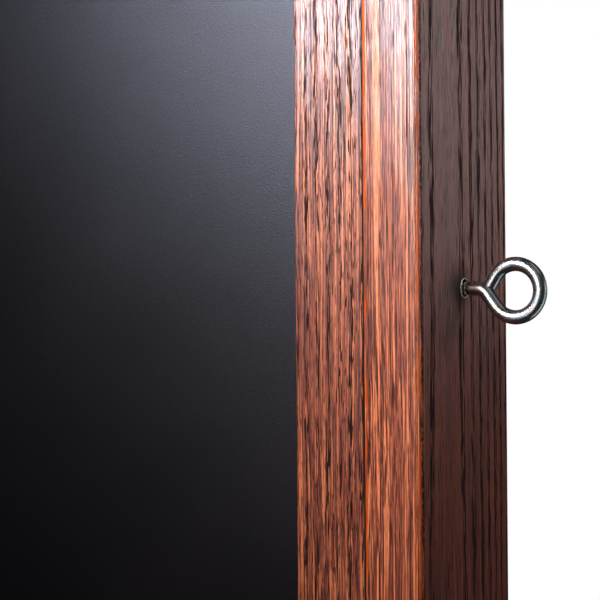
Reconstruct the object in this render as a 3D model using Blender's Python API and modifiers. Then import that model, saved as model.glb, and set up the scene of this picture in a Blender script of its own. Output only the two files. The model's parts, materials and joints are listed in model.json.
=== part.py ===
"""Hook and ring game: an oak box frame with a black panel, a hook, a ring and a screw eye.

The board stands on its lower edge or hangs on a wall. Four mitred oak boards make a deep
box. A mitred inner trim holds the black panel, which a plywood backing and four cleats
press forward. The hook screws through the panel into the backing, the game's ring hangs
on it, and the screw eye in the right side takes the end of the ring's cord.

Units are metres, +Z is up and the panel faces -Y. The origin is the middle of the
underside of the bottom board.
"""

import math

import bmesh
import bpy
from mathutils import Matrix, Vector

MM = 0.001
INCH = 0.0254

# Outer box, from boards of three quarters by two and a half inches
WIDTH = 16 * INCH
HEIGHT = 20 * INCH
STOCK = 0.75 * INCH
DEPTH = 2.5 * INCH
OUTER_ARRIS = 2.4 * MM
INNER_ARRIS = 1.1 * MM
BACK_ARRIS = 0.8 * MM

GAP = 0.3 * MM  # between pieces that touch
MITRE_BACK_OFF = GAP / 2 * math.sqrt(2)
ARC_STEPS = 4

# Inner trim, with a rabbet that takes the panel's edge
TRIM_WIDTH = 24.6 * MM
TRIM_THICKNESS = 12 * MM
TRIM_RECESS = 3 * MM
TRIM_ARRIS = 0.7 * MM
LIP = 2.4 * MM
RABBET = 7 * MM

BACKING = 12 * MM
CLEAT = 19 * MM

# Depths below the front plane, and the same as distances inwards from the outside
FRONT = -DEPTH / 2
BACK = DEPTH / 2
TRIM_FRONT = FRONT + TRIM_RECESS
PANEL_FRONT = TRIM_FRONT + LIP + GAP
PANEL_BACK = TRIM_FRONT + TRIM_THICKNESS
BACKING_FRONT = PANEL_BACK + GAP
BACKING_BACK = BACKING_FRONT + BACKING
CLEAT_FRONT = BACKING_BACK + GAP
INSIDE = STOCK + GAP
PANEL_INSET = INSIDE + TRIM_WIDTH - RABBET + GAP

# Screw eye, in the middle of the right side, driven in pointing a little downwards
EYE_HEIGHT = HEIGHT / 2
EYE_DROOP = math.radians(3.2)
EYE_WIRE = 2.2 * MM
EYE_LOOP = 8.15 * MM
EYE_SWEEP = math.radians(293)
EYE_TIP = 2.9 * MM
EYE_THREAD = 16.5 * MM

# Hook, in the middle of the panel, of heavier wire and with an open loop
HOOK_HEIGHT = 0.46 * HEIGHT
HOOK_WIRE = 2.6 * MM
HOOK_LOOP = 10.5 * MM
HOOK_SWEEP = math.radians(145)
HOOK_TIP = 9 * MM
HOOK_THREAD = 19.5 * MM

# What eye and hook share
NECK = 4.6 * MM
TIP_TAPER = 0.6 * MM
TIP_END = 0.8
BEND = 4 * MM
BEND_ANGLE = math.radians(50)
THREAD_PITCH = 2.0 * MM
THREAD_CORE = 0.84
THREAD_RIB = 0.62 * MM
RIB_STEPS = 12
BORE_PLAY = 0.35 * MM

RING = 28 * MM
RING_WIRE = 2.6 * MM

ROSE_RADIUS = 9 * MM
ROSE_THICKNESS = 1.4 * MM

# Wood screws and nails
SCREW_HEAD = 3.4 * MM
SCREW_SHANK = 1.7 * MM
CLEAT_SCREW = 30 * MM
PANEL_SCREW = 17 * MM
HANGER_SCREW = 14 * MM
NAIL_LENGTH = 38 * MM
NAIL_RADIUS = 0.8 * MM
NAIL_HEAD = 1.1 * MM
NAIL_SET = 1.0 * MM

# Hangers on the rear edges, and bumpers that keep them off the wall
HANGER_HEIGHT = 0.82 * HEIGHT
STRAP_WIDTH = 11 * MM
STRAP_LENGTH = 30 * MM
STRAP_SHEET = 1.2 * MM
KNUCKLE = 2.7 * MM
KNUCKLE_BORE = 1.55 * MM
HANGER_WIRE = 1.25 * MM
HANGER_REACH = 15 * MM
HANGER_HALF = 10.5 * MM
BUMPER_RADIUS = 5 * MM
BUMPER_HEIGHT = 6 * MM


# Scene and materials

def clear_scene():
    for obj in list(bpy.data.objects):
        bpy.data.objects.remove(obj, do_unlink=True)


def new_collection(name):
    collection = bpy.data.collections.new(name)
    bpy.context.scene.collection.children.link(collection)
    return collection


def material(name, colour, roughness, metallic=0.0):
    made = bpy.data.materials.new(name)
    made.use_nodes = True
    shader = made.node_tree.nodes["Principled BSDF"]
    shader.inputs["Base Color"].default_value = (*colour, 1.0)
    shader.inputs["Roughness"].default_value = roughness
    shader.inputs["Metallic"].default_value = metallic
    return made


def add_object(name, data, home, finish, parent=None):
    obj = bpy.data.objects.new(name, data)
    home.objects.link(obj)
    if finish is not None and not data.materials:
        data.materials.append(finish)
    obj.parent = parent
    return obj


def add_cutter(name, data, home):
    obj = add_object(name, data, home, None)
    obj.hide_render = True
    obj.display_type = "WIRE"
    return obj


def smooth(mesh):
    mesh.shade_smooth()
    mesh.set_sharp_from_angle(angle=math.radians(35))
    return mesh


# Shapes

def mesh_from(name, bm):
    mesh = bpy.data.meshes.new(name)
    bm.to_mesh(mesh)
    bm.free()
    return mesh


def box_mesh(name, size):
    bm = bmesh.new()
    bmesh.ops.create_cube(bm, size=1.0)
    bmesh.ops.scale(bm, vec=size, verts=bm.verts)
    return mesh_from(name, bm)


def rod_mesh(name, radius, length, sides=16):
    """A cylinder from the origin along +Z."""
    bm = bmesh.new()
    bmesh.ops.create_cone(
        bm, cap_ends=True, segments=sides, radius1=radius, radius2=radius, depth=length
    )
    bmesh.ops.translate(bm, vec=(0, 0, length / 2), verts=bm.verts)
    return mesh_from(name, bm)


def rounded_outline(corners):
    """The points of an outline whose corners are (x, y, radius), each radius turned as an arc."""
    points = []
    for index, (x, y, radius) in enumerate(corners):
        here = Vector((x, y))
        if radius == 0:
            points.append(here)
            continue
        before = (Vector(corners[index - 1][:2]) - here).normalized()
        after = (Vector(corners[(index + 1) % len(corners)][:2]) - here).normalized()
        centre = here + (before + after) * radius
        start = here + before * radius - centre
        turn = start.angle_signed(here + after * radius - centre)
        for step in range(ARC_STEPS + 1):
            spoke = start.copy()
            spoke.rotate(Matrix.Rotation(-turn * step / ARC_STEPS, 2))
            points.append(centre + spoke)
    return points


def evaluated_mesh(obj, name):
    """The object's mesh with its modifiers applied and a curve's caps welded on. The object goes."""
    graph = bpy.context.evaluated_depsgraph_get()
    mesh = bpy.data.meshes.new_from_object(obj.evaluated_get(graph))
    mesh.name = name
    bm = bmesh.new()
    bm.from_mesh(mesh)
    bmesh.ops.remove_doubles(bm, verts=bm.verts, dist=1e-6)
    bmesh.ops.recalc_face_normals(bm, faces=bm.faces)
    bm.to_mesh(mesh)
    bm.free()
    bpy.data.objects.remove(obj, do_unlink=True)
    return mesh


def flat_mesh(name, points, thickness):
    """An outline in the XY plane, extruded evenly to both sides of it."""
    curve = bpy.data.curves.new(name, "CURVE")
    curve.dimensions = "2D"
    curve.fill_mode = "BOTH"
    curve.extrude = thickness / 2
    spline = curve.splines.new("POLY")
    spline.points.add(len(points) - 1)
    for point, (x, y) in zip(spline.points, points):
        point.co = (x, y, 0, 1)
    spline.use_cyclic_u = True
    obj = add_object(name, curve, bpy.context.scene.collection, None)
    return evaluated_mesh(obj, name)


def wire_mesh(name, points, radius, scales=None, cyclic=False, resolution=4):
    """A round wire along points, with the radius scaled point by point."""
    curve = bpy.data.curves.new(name, "CURVE")
    curve.dimensions = "3D"
    curve.bevel_depth = radius
    curve.bevel_resolution = resolution
    curve.use_fill_caps = not cyclic
    spline = curve.splines.new("POLY")
    spline.points.add(len(points) - 1)
    for index, (point, place) in enumerate(zip(spline.points, points)):
        point.co = (*place, 1)
        point.radius = scales[index] if scales else 1.0
    spline.use_cyclic_u = cyclic
    obj = add_object(name, curve, bpy.context.scene.collection, None)
    return evaluated_mesh(obj, name)


def turned_mesh(name, profile, steps=16):
    """A turned solid about Z. The profile runs down from the top, as (radius, height)."""
    bm = bmesh.new()
    verts = [bm.verts.new((radius, 0, height)) for radius, height in profile]
    for upper, lower in zip(verts, verts[1:]):
        bm.edges.new((upper, lower))
    obj = add_object(name, mesh_from(name, bm), bpy.context.scene.collection, None)
    turn = obj.modifiers.new("turn", "SCREW")
    turn.steps = steps
    turn.render_steps = steps
    turn.use_merge_vertices = True
    turn.merge_threshold = 1e-5
    return evaluated_mesh(obj, name)


def combined_mesh(name, first, second, operation):
    """Two meshes made one by a Boolean."""
    home = bpy.context.scene.collection
    other = add_object(name + "_other", second, home, None)
    obj = add_object(name, first, home, None)
    join = obj.modifiers.new(operation.lower(), "BOOLEAN")
    join.operation = operation
    join.object = other
    mesh = evaluated_mesh(obj, name)
    bpy.data.objects.remove(other, do_unlink=True)
    return mesh


def cut(obj, cutters):
    """Cuts every object of a collection out of obj."""
    bore = obj.modifiers.new("bores", "BOOLEAN")
    bore.operation = "DIFFERENCE"
    bore.operand_type = "COLLECTION"
    bore.collection = cutters


# The frame's strips, all four sides of which one outline makes

# Each side's turn about Y, and whether it is one of the two uprights
SIDES = {
    "bottom": (0, False),
    "right": (-math.pi / 2, True),
    "top": (math.pi, False),
    "left": (math.pi / 2, True),
}


def add_mitred_strips(label, corners, inset, front, home, finish):
    """Four strips with mitred ends. In corners, x runs inwards from the strip's outer edge, y backwards."""
    made = {}
    for side, (turn, upright) in SIDES.items():
        across = WIDTH if upright else HEIGHT
        length = (HEIGHT if upright else WIDTH) - 2 * inset
        mesh = flat_mesh(f"{side}_{label}", rounded_outline(corners), length)
        for vertex in mesh.vertices:
            inwards, backwards, along = vertex.co
            end = length / 2 - inwards - MITRE_BACK_OFF
            vertex.co = (math.copysign(end, along), backwards, inwards)
        mesh.flip_normals()
        strip = add_object(f"{side}_{label}", smooth(mesh), home, finish)
        strip.rotation_euler = (0, turn, 0)
        outer_edge = Matrix.Rotation(turn, 3, "Y") @ Vector((0, 0, inset - across / 2))
        strip.location = Vector((0, front, HEIGHT / 2)) + outer_edge
        made[side] = strip
    return made


def board_corners():
    return [
        (0, 0, OUTER_ARRIS),
        (STOCK, 0, INNER_ARRIS),
        (STOCK, DEPTH, BACK_ARRIS),
        (0, DEPTH, BACK_ARRIS),
    ]


def trim_corners():
    seat = TRIM_WIDTH - RABBET
    return [
        (0, 0, TRIM_ARRIS),
        (TRIM_WIDTH, 0, TRIM_ARRIS),
        (TRIM_WIDTH, LIP, 0),
        (seat, LIP, 0),
        (seat, TRIM_THICKNESS, 0),
        (0, TRIM_THICKNESS, 0),
    ]


def add_slab(name, inset, front, back, home, finish):
    """A rectangular sheet that leaves inset clear inside the frame's outline on every side."""
    size = (WIDTH - 2 * inset, back - front, HEIGHT - 2 * inset)
    slab = add_object(name, box_mesh(name, size), home, finish)
    slab.location = (0, (front + back) / 2, HEIGHT / 2)
    return slab


def add_cleats(home, finish):
    """Uprights the full height of the inside, and cross pieces between them."""
    made = {}
    for side, (turn, upright) in SIDES.items():
        span = HEIGHT if upright else WIDTH - 2 * (CLEAT + GAP)
        across = WIDTH if upright else HEIGHT
        name = f"{side}_cleat"
        cleat = add_object(name, box_mesh(name, (span - 2 * INSIDE, CLEAT, CLEAT)), home, finish)
        middle = INSIDE + CLEAT / 2 - across / 2
        turned = Matrix.Rotation(turn, 3, "Y") @ Vector((0, 0, middle))
        cleat.location = Vector((0, CLEAT_FRONT + CLEAT / 2, HEIGHT / 2)) + turned
        cleat.rotation_euler = (0, turn, 0)
        made[side] = cleat
    return made


# Screw eye and hook

def bent_wire(loop, sweep, tip):
    """A wire's line in the XZ plane: a neck along +X, a bend down, a run, a loop and a straight tip."""
    slope = Vector((math.cos(BEND_ANGLE), 0, -math.sin(BEND_ANGLE)))
    square = Vector((math.sin(BEND_ANGLE), 0, math.cos(BEND_ANGLE)))
    points = [Vector((0, 0, 0)), Vector((NECK, 0, 0))]
    for step in range(1, 6):
        angle = BEND_ANGLE * step / 5
        points.append(Vector((NECK + BEND * math.sin(angle), 0, BEND * (math.cos(angle) - 1))))
    drop = loop * math.cos(BEND_ANGLE) - BEND * (1 - math.cos(BEND_ANGLE))
    run_end = points[-1] + slope * (drop / math.sin(BEND_ANGLE))
    points.append((points[-1] + run_end) / 2)
    centre = run_end + square * loop
    steps = max(12, round(sweep / math.radians(9)))
    for step in range(steps + 1):
        turned = sweep * step / steps
        spoke = Matrix.Rotation(-turned, 3, "Y") @ (-square * loop)
        points.append(centre + spoke)
    ahead = (points[-1] - points[-2]).normalized()
    points += [points[-1] + ahead * (tip - TIP_TAPER), points[-1] + ahead * tip]
    return points, centre


def thread_rib(core, start, end):
    """A helix round the X axis from start to end, and scales that fade it out at both ends."""
    turns = (end - start) / THREAD_PITCH
    count = round(turns * RIB_STEPS)
    points, scales = [], []
    for step in range(count + 1):
        share = step / count
        angle = 2 * math.pi * turns * share
        near_end = min(share, 1 - share) * turns
        fade = 0.35 + 0.65 * min(1.0, near_end / 0.6)
        reach = core - (1 - fade) * THREAD_RIB
        height = start + (end - start) * share
        points.append(Vector((height, reach * math.cos(angle), reach * math.sin(angle))))
        scales.append(fade)
    return points, scales


def screw_wire_mesh(name, line, wire, thread):
    """A bent wire with a threaded, pointed length behind it, all one solid."""
    core = wire * THREAD_CORE
    point_length = 3.5 * MM
    root = [
        (-thread, 0.12),
        (-thread + point_length, THREAD_CORE),
        (-0.6 * MM, THREAD_CORE),
    ]
    points = [Vector((x, 0, 0)) for x, _ in root] + line
    scales = [scale for _, scale in root] + [1.0] * (len(line) - 1) + [TIP_END]
    shaft = wire_mesh(name, points, wire, scales)
    rib_points, rib_scales = thread_rib(core, -thread + 0.7 * point_length, 0.5 * MM)
    rib = wire_mesh(name + "_rib", rib_points, THREAD_RIB, rib_scales, resolution=1)
    return smooth(combined_mesh(name, shaft, rib, "UNION"))


def pilot_bore(name, wire, thread, axis_matrix, home):
    """A blind hole that clears the thread, open past the face that it is drilled from."""
    radius = wire * THREAD_CORE + THREAD_RIB + BORE_PLAY
    mouth = 4 * MM
    bore = add_cutter(name, rod_mesh(name, radius, thread + mouth + GAP, 20), home)
    along = Matrix.Translation((mouth, 0, 0)) @ Matrix.Rotation(-math.pi / 2, 4, "Y")
    bore.matrix_world = axis_matrix @ along
    return bore


def ring_mesh(name, radius, wire, count):
    points = []
    for step in range(count):
        angle = 2 * math.pi * step / count
        points.append(Vector((radius * math.cos(angle), 0, radius * math.sin(angle))))
    return smooth(wire_mesh(name, points, wire, cyclic=True))


# Fasteners

def screw_mesh(name, length):
    """A countersunk wood screw along -Z, its head's top at the origin, with a cross recess."""
    cone = 2.4 * MM
    rib = 0.45 * MM
    pitch = 3.0 * MM
    profile = [(0, 0), (SCREW_HEAD, 0), (SCREW_HEAD, -0.4 * MM), (SCREW_SHANK, -cone)]
    depth = cone + 1.6 * MM
    while depth < length - 4 * MM:
        profile += [
            (SCREW_SHANK, -depth),
            (SCREW_SHANK + rib, -depth - 0.4 * pitch),
        ]
        depth += pitch
    profile += [(SCREW_SHANK, -depth), (0, -length)]
    body = turned_mesh(name, profile, 12)
    arm = (3.6 * MM, 0.8 * MM, 2.4 * MM)
    other_arm = (arm[1], arm[0], arm[2])
    recess = combined_mesh(
        name + "_recess", box_mesh(name + "_x", arm), box_mesh(name + "_y", other_arm), "UNION"
    )
    return smooth(combined_mesh(name, body, recess, "DIFFERENCE"))


def screw_bore_mesh(name, length):
    """The clearance of a screw: a countersink and a hole, open above the head."""
    head = SCREW_HEAD + GAP
    shank = SCREW_SHANK + 0.45 * MM + GAP
    above = 2 * MM
    cone = 2.4 * MM
    profile = [
        (0, above),
        (head, above),
        (head, -0.4 * MM - GAP),
        (shank, -cone - GAP),
        (shank, -length - GAP),
        (0, -length - GAP),
    ]
    return turned_mesh(name, profile, 16)


def pose_of(place, pointing):
    """A matrix at place whose -Z looks along pointing."""
    turn = Vector(pointing).to_track_quat("-Z", "Y").to_matrix().to_4x4()
    return Matrix.Translation(place) @ turn


def add_screws(prefix, places, mesh, bore, home, cutters, finish):
    """Screws at (place, direction) pairs, each with a cutter of its own in cutters."""
    for number, (place, pointing) in enumerate(places, 1):
        screw = add_object(f"{prefix}_{number}", mesh, home, finish)
        screw.matrix_world = pose_of(place, pointing)
        if bore is not None:
            add_cutter(f"{prefix}_{number}_bore", bore, cutters).matrix_world = pose_of(
                place, pointing
            )


def cleat_screw_places():
    """Two screws through each cleat into its board."""
    places = []
    depth = CLEAT_FRONT + CLEAT / 2
    reach = INSIDE + CLEAT
    for share in (0.25, 0.75):
        for side in (-1, 1):
            edge = side * (WIDTH / 2 - reach)
            places.append(((edge, depth, HEIGHT * share), (side, 0, 0)))
            across = WIDTH * (share - 0.5)
            edge = HEIGHT / 2 + side * (HEIGHT / 2 - reach)
            places.append(((across, depth, edge), (0, 0, side)))
    return places


def panel_screw_places():
    """Six screws from behind, through the backing into the panel."""
    inset = 70 * MM
    places = []
    for height in (inset, HEIGHT / 2, HEIGHT - inset):
        for side in (-1, 1):
            places.append(((side * (WIDTH / 2 - inset), BACKING_BACK, height), (0, -1, 0)))
    return places


def nail_places():
    """Two nails at each corner, through the upright's mitre into the cross board."""
    places = []
    for side in (-1, 1):
        for height in (STOCK / 2, HEIGHT - STOCK / 2):
            for depth in (-0.28 * DEPTH, 0.28 * DEPTH):
                outside = side * (WIDTH / 2 - NAIL_SET)
                places.append(((outside, depth, height), (-side, 0, 0)))
    return places


def nail_mesh():
    head = 1.2 * MM
    point = 2 * MM
    profile = [
        (0, 0),
        (NAIL_HEAD, 0),
        (NAIL_HEAD, -head),
        (NAIL_RADIUS, -1.5 * head),
        (NAIL_RADIUS, point - NAIL_LENGTH),
        (0, -NAIL_LENGTH),
    ]
    return smooth(turned_mesh("nail", profile, 10))


def nail_bore_mesh():
    above = NAIL_SET + 2 * MM
    profile = [
        (0, above),
        (NAIL_HEAD + GAP, above),
        (NAIL_HEAD + GAP, -NAIL_LENGTH - GAP),
        (0, -NAIL_LENGTH - GAP),
    ]
    return turned_mesh("nail_bore", profile, 12)


# Hangers

def strap_mesh():
    """A folded strap in the XZ plane, its knuckle on the X axis and its plate hanging below, behind y = 0."""
    knuckle_y = KNUCKLE + GAP
    plate = box_mesh("strap", (STRAP_WIDTH, STRAP_SHEET, STRAP_LENGTH))
    plate.transform(Matrix.Translation((0, STRAP_SHEET / 2 + GAP, -STRAP_LENGTH / 2)))
    barrel = rod_mesh("barrel", KNUCKLE, STRAP_WIDTH, 20)
    lie_on_x = Matrix.Translation((-STRAP_WIDTH / 2, knuckle_y, 0)) @ Matrix.Rotation(
        math.pi / 2, 4, "Y"
    )
    barrel.transform(lie_on_x)
    strap = combined_mesh("strap", plate, barrel, "UNION")
    bore = rod_mesh("barrel_bore", KNUCKLE_BORE, 2 * STRAP_WIDTH, 16)
    bore.transform(
        Matrix.Translation((-STRAP_WIDTH, knuckle_y, 0)) @ Matrix.Rotation(math.pi / 2, 4, "Y")
    )
    return smooth(combined_mesh("strap", strap, bore, "DIFFERENCE"))


def hanger_ring_mesh():
    """A D of wire whose straight side is the X axis, hanging down from it."""
    corner = 4 * MM
    points = [Vector((0, 0, 0)), Vector((HANGER_HALF - corner, 0, 0))]
    for centre, start, stop, radius in (
        ((HANGER_HALF - corner, -corner), 90, 0, corner),
        ((0, HANGER_HALF - HANGER_REACH), 0, -180, HANGER_HALF),
        ((corner - HANGER_HALF, -corner), 180, 90, corner),
    ):
        count = 5 if abs(stop - start) < 100 else 16
        for step in range(count + 1):
            angle = math.radians(start + (stop - start) * step / count)
            points.append(
                Vector(
                    (
                        centre[0] + radius * math.cos(angle),
                        0,
                        centre[1] + radius * math.sin(angle),
                    )
                )
            )
    line = [points[0]]
    for point in points[1:]:
        if (point - line[-1]).length > 0.3 * MM:
            line.append(point)
    return smooth(wire_mesh("hanger_ring", line, HANGER_WIRE, cyclic=True, resolution=2))


def add_hangers(home, cutters, zinc):
    """A strap, its ring and two screws on the rear edge of each upright."""
    strap_data = strap_mesh()
    ring_data = hanger_ring_mesh()
    screw_data = screw_mesh("hanger_screw", HANGER_SCREW)
    bore_data = screw_bore_mesh("hanger_screw_bore", HANGER_SCREW)
    for side, sign in (("left", -1), ("right", 1)):
        middle = sign * (WIDTH - STOCK) / 2
        strap = add_object(f"{side}_hanger_strap", strap_data, home, zinc)
        strap.location = (middle, BACK, HANGER_HEIGHT)
        cut(strap, cutters)
        ring = add_object(f"{side}_hanger_ring", ring_data, home, zinc)
        ring.location = (middle, BACK + KNUCKLE + GAP, HANGER_HEIGHT)
        surface = BACK + GAP + STRAP_SHEET + 1.0 * MM
        places = [
            ((middle, surface, HANGER_HEIGHT - drop), (0, -1, 0)) for drop in (9 * MM, 23 * MM)
        ]
        add_screws(f"{side}_hanger_screw", places, screw_data, bore_data, home, cutters, zinc)


def add_bumpers(home, rubber):
    profile = [
        (0, BUMPER_HEIGHT),
        (0.6 * BUMPER_RADIUS, BUMPER_HEIGHT),
        (0.85 * BUMPER_RADIUS, BUMPER_HEIGHT - 0.8 * MM),
        (BUMPER_RADIUS, GAP),
        (0, GAP),
    ]
    data = smooth(turned_mesh("bumper", profile, 20))
    inset = 40 * MM
    for side, sign in (("left", -1), ("right", 1)):
        for level, height in (("lower", inset), ("upper", HEIGHT - inset)):
            bumper = add_object(f"{side}_{level}_bumper", data, home, rubber)
            bumper.rotation_euler = (-math.pi / 2, 0, 0)
            bumper.location = (sign * (WIDTH - STOCK) / 2, BACK, height)


# The game's own hardware

def add_screw_eye(home, cutters, zinc):
    line, _ = bent_wire(EYE_LOOP, EYE_SWEEP, EYE_TIP)
    eye = add_object("screw_eye", screw_wire_mesh("screw_eye", line, EYE_WIRE, EYE_THREAD), home, zinc)
    axis = Matrix.Translation((WIDTH / 2, 0, EYE_HEIGHT)) @ Matrix.Rotation(EYE_DROOP, 4, "Y")
    eye.matrix_world = axis
    pilot_bore("eye_pilot", EYE_WIRE, EYE_THREAD, axis, cutters)


def add_hook_and_ring(home, cutters, zinc, steel):
    line, centre = bent_wire(HOOK_LOOP, HOOK_SWEEP, HOOK_TIP)
    data = screw_wire_mesh("hook", line, HOOK_WIRE, HOOK_THREAD)
    hook = add_object("hook", data, home, zinc)
    face = PANEL_FRONT - ROSE_THICKNESS - GAP
    axis = Matrix.Translation((0, face, HOOK_HEIGHT)) @ Matrix.Rotation(-math.pi / 2, 4, "Z")
    hook.matrix_world = axis
    pilot_bore("hook_pilot", HOOK_WIRE, HOOK_THREAD, axis, cutters)

    seat = axis @ (centre - Vector((0, 0, HOOK_LOOP)))
    hang = HOOK_WIRE + GAP + RING_WIRE - RING
    ring = add_object("ring", ring_mesh("ring", RING, RING_WIRE, 48), home, steel)
    ring.location = seat + Vector((0, 0, hang))

    profile = [
        (0, ROSE_THICKNESS),
        (0.75 * ROSE_RADIUS, ROSE_THICKNESS),
        (ROSE_RADIUS, 0.5 * ROSE_THICKNESS),
        (ROSE_RADIUS, 0),
        (0, 0),
    ]
    rose = add_object("hook_rose", smooth(turned_mesh("hook_rose", profile, 32)), home, zinc)
    rose.rotation_euler = (math.pi / 2, 0, 0)
    rose.location = (0, PANEL_FRONT - GAP, HOOK_HEIGHT)
    return rose


def build():
    clear_scene()
    home = new_collection("hook_and_ring_game")
    bores = new_collection("bores")
    nail_bores = new_collection("nail_bores")
    hanger_bores = new_collection("hanger_bores")

    oak = material("stained_oak", (0.24, 0.08, 0.045), 0.35)
    trim_oak = material("stained_oak_trim", (0.30, 0.11, 0.065), 0.35)
    black = material("black_panel", (0.018, 0.018, 0.022), 0.55)
    plywood = material("plywood", (0.62, 0.46, 0.28), 0.7)
    pine = material("pine", (0.70, 0.52, 0.31), 0.7)
    zinc = material("zinc_plate", (0.75, 0.77, 0.78), 0.18, 1.0)
    steel = material("ring_steel", (0.72, 0.73, 0.74), 0.15, 1.0)
    rubber = material("rubber", (0.03, 0.03, 0.03), 0.8)

    boards = add_mitred_strips("board", board_corners(), 0, FRONT, home, oak)
    add_mitred_strips("trim", trim_corners(), INSIDE, TRIM_FRONT, home, trim_oak)
    panel = add_slab("panel", PANEL_INSET, PANEL_FRONT, PANEL_BACK, home, black)
    backing = add_slab("backing", INSIDE, BACKING_FRONT, BACKING_BACK, home, plywood)
    cleats = add_cleats(home, pine)

    add_screw_eye(home, bores, zinc)
    rose = add_hook_and_ring(home, bores, zinc, steel)
    add_screws(
        "cleat_screw",
        cleat_screw_places(),
        screw_mesh("cleat_screw", CLEAT_SCREW),
        screw_bore_mesh("cleat_screw_bore", CLEAT_SCREW),
        home,
        bores,
        zinc,
    )
    add_screws(
        "panel_screw",
        panel_screw_places(),
        screw_mesh("panel_screw", PANEL_SCREW),
        screw_bore_mesh("panel_screw_bore", PANEL_SCREW),
        home,
        bores,
        zinc,
    )
    add_screws(
        "corner_nail", nail_places(), nail_mesh(), nail_bore_mesh(), home, nail_bores, steel
    )
    add_hangers(home, hanger_bores, zinc)
    add_bumpers(home, rubber)

    for board in boards.values():
        cut(board, nail_bores)
        cut(board, bores)
    for side in ("left", "right"):
        cut(boards[side], hanger_bores)
    for piece in (panel, backing, rose, *cleats.values()):
        cut(piece, bores)


build()
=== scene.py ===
"""The looks of the hook and ring game: stained oak, black panel, bright wire, pale rear woods."""

import json
import math

import bmesh
import bpy
from mathutils import Matrix, Vector, noise


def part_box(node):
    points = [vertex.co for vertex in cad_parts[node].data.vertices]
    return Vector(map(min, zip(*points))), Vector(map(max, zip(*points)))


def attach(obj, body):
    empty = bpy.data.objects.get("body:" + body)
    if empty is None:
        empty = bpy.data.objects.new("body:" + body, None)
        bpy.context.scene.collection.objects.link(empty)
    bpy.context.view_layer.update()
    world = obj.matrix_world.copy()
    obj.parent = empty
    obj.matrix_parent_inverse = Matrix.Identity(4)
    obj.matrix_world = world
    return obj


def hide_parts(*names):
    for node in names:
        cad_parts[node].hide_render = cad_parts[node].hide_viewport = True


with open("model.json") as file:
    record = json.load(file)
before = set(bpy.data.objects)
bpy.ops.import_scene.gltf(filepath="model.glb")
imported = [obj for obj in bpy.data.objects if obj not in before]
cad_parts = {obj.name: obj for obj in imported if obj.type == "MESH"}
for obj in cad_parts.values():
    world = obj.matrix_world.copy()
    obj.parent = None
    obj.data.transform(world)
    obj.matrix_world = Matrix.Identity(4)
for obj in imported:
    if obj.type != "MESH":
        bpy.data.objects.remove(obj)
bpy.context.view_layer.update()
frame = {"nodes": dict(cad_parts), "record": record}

MM = 0.001

# Sizes read from the frame. Depth runs along +Y from the front edges, which face the player.
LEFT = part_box("left_board")[0].x
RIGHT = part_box("right_board")[1].x
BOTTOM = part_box("bottom_board")[0].z
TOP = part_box("top_board")[1].z
FRONT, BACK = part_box("right_board")[0].y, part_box("right_board")[1].y
WIDTH, HEIGHT, DEPTH = RIGHT - LEFT, TOP - BOTTOM, BACK - FRONT
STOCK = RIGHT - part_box("right_board")[0].x
TRIM_LOW, TRIM_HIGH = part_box("right_trim")
TRIM_WIDTH = TRIM_HIGH.x - TRIM_LOW.x
TRIM_THICKNESS = TRIM_HIGH.y - TRIM_LOW.y
TRIM_INSET = RIGHT - TRIM_HIGH.x
TRIM_FRONT = TRIM_LOW.y
GAP = 0.3 * MM

# Arrises of the boards and the trim, and the spacing of the points on their meshes
OUTER_ARRIS = 2.4 * MM
INNER_ARRIS = 1.1 * MM
BACK_ARRIS = 0.8 * MM
TRIM_ARRIS = 0.7 * MM
TRIM_LIP = 2.4 * MM
TRIM_RABBET = 7 * MM
ARC_STEPS = 14
SUPPORT = 0.25 * MM
STATION = 4 * MM
FACE_STEP = 4 * STATION
DENT_DEPTH = 0.16 * MM
DENT_SIZE = 3 * MM
SHARP = math.radians(35)

# Screw eye and hook, bent as in the CAD. The hook's wire is drawn slightly thinner than its
# own 5.2 mm, so that the round wire stays inside the box of the faceted one.
EYE_POINT = Vector((RIGHT, 0, HEIGHT / 2))
EYE_DROOP = math.radians(3.2)
EYE_WIRE = 2.2 * MM
EYE_LOOP = 8.15 * MM
EYE_SWEEP = math.radians(293)
EYE_TIP = 2.9 * MM
EYE_THREAD = 16.5 * MM
HOOK_WIRE = 2.56 * MM
HOOK_LOOP = 10.5 * MM
HOOK_SWEEP = math.radians(145)
HOOK_TIP = 9 * MM
HOOK_THREAD = 19.5 * MM
NECK = 4.6 * MM
BEND = 4 * MM
BEND_ANGLE = math.radians(50)
THREAD_PITCH = 2.0 * MM
THREAD_CORE = 0.84
THREAD_RIB = 0.62 * MM
THREAD_STEP = 0.14 * MM
THREAD_POINT = 3.5 * MM
WELD_REACH = 2 * MM
WELD_NECK = 0.14 * MM


# Camera. It stands in front of the board, to the right, a little below the screw eye's hole.

CAMERA_LENS = 150
CAMERA_SENSOR = 36
CAMERA_NEAR = 0.05
CAMERA_DISTANCE = 0.7728
CAMERA_AZIMUTH = math.radians(24.93)
CAMERA_DROP = 3.3 * MM
CAMERA_HEADING = math.radians(28.7)
CAMERA_ROLL = math.radians(-0.45)


def add_camera():
    data = bpy.data.cameras.new("camera")
    data.lens = CAMERA_LENS
    data.sensor_width = CAMERA_SENSOR
    data.clip_start = CAMERA_NEAR
    camera = bpy.data.objects.new("camera", data)
    bpy.context.scene.collection.objects.link(camera)
    aside = CAMERA_DISTANCE * math.sin(CAMERA_AZIMUTH)
    before = CAMERA_DISTANCE * math.cos(CAMERA_AZIMUTH)
    place = EYE_POINT + Vector((aside, -before, -CAMERA_DROP))
    ahead = Vector((-math.sin(CAMERA_HEADING), math.cos(CAMERA_HEADING), 0))
    turn = ahead.to_track_quat("-Z", "Y").to_matrix().to_4x4()
    camera.matrix_world = Matrix.Translation(place) @ turn @ Matrix.Rotation(CAMERA_ROLL, 4, "Z")
    bpy.context.scene.camera = camera


# Lights

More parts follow.
